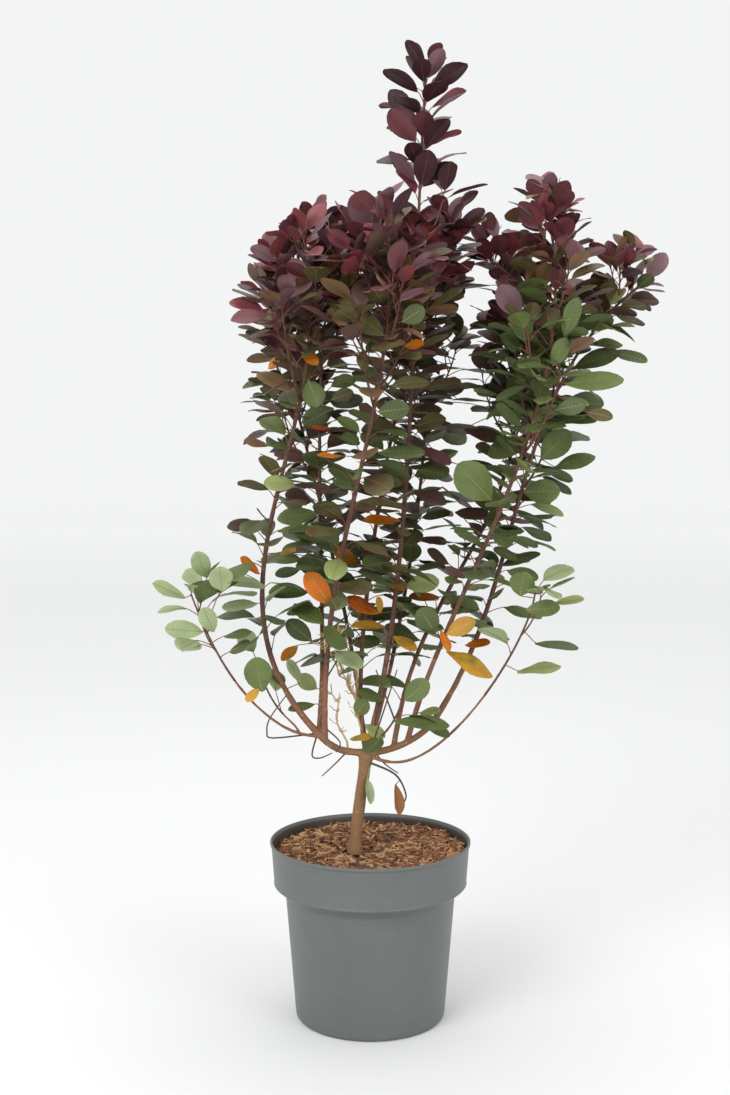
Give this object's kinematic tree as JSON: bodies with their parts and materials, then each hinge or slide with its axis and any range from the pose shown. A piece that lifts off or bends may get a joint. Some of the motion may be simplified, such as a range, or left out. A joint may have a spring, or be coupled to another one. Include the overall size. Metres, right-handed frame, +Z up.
{
  "type": "potted smoke bush",
  "caption": "Young smoke bush in a round grey nursery pot: a short trunk that forks into upright stems with wine-purple and green leaves.",
  "frame": {"origin": "centre of the pot's flat underside, on the ground", "axes": "+Z up along the plant; -Y towards the viewer of the front; +X to the viewer's right"},
  "size_m": [0.773, 0.5317, 1.4667],
  "materials": {
    "grey_plastic": "matte moulded mid-grey plastic",
    "bark_mulch": "coarse bark chips",
    "red_brown_bark": "smooth young bark",
    "wine_leaves": "satin purple leaves",
    "green_leaves": "matte green leaves"
  },
  "bodies": {
    "root": {"pot": "grey_plastic", "soil": "bark_mulch", "trunk": "red_brown_bark", "arm_left": "red_brown_bark", "arm_right": "red_brown_bark", "bough_left_outer": "red_brown_bark", "bough_left_back": "red_brown_bark", "bough_front_middle": "red_brown_bark", "bough_centre": "red_brown_bark", "bough_leader": "red_brown_bark", "bough_right_back": "red_brown_bark", "bough_right_middle": "red_brown_bark", "bough_right_outer": "red_brown_bark", "bough_back_left": "red_brown_bark", "bough_back_right": "red_brown_bark", "bough_low_right": "red_brown_bark", "bough_low_left": "red_brown_bark", "bough_low_left_inner": "red_brown_bark", "bough_heart": "red_brown_bark", "foliage_left_outer": "wine_leaves", "foliage_left_back": "wine_leaves", "foliage_front_middle": "wine_leaves", "foliage_centre": "wine_leaves", "foliage_leader": "wine_leaves", "foliage_right_back": "wine_leaves", "foliage_right_middle": "wine_leaves", "foliage_right_outer": "wine_leaves", "foliage_back_left": "wine_leaves", "foliage_back_right": "wine_leaves", "foliage_low_right": "green_leaves", "foliage_low_left": "green_leaves", "foliage_low_left_inner": "green_leaves", "foliage_heart": "green_leaves"}
  },
  "joints": []
}
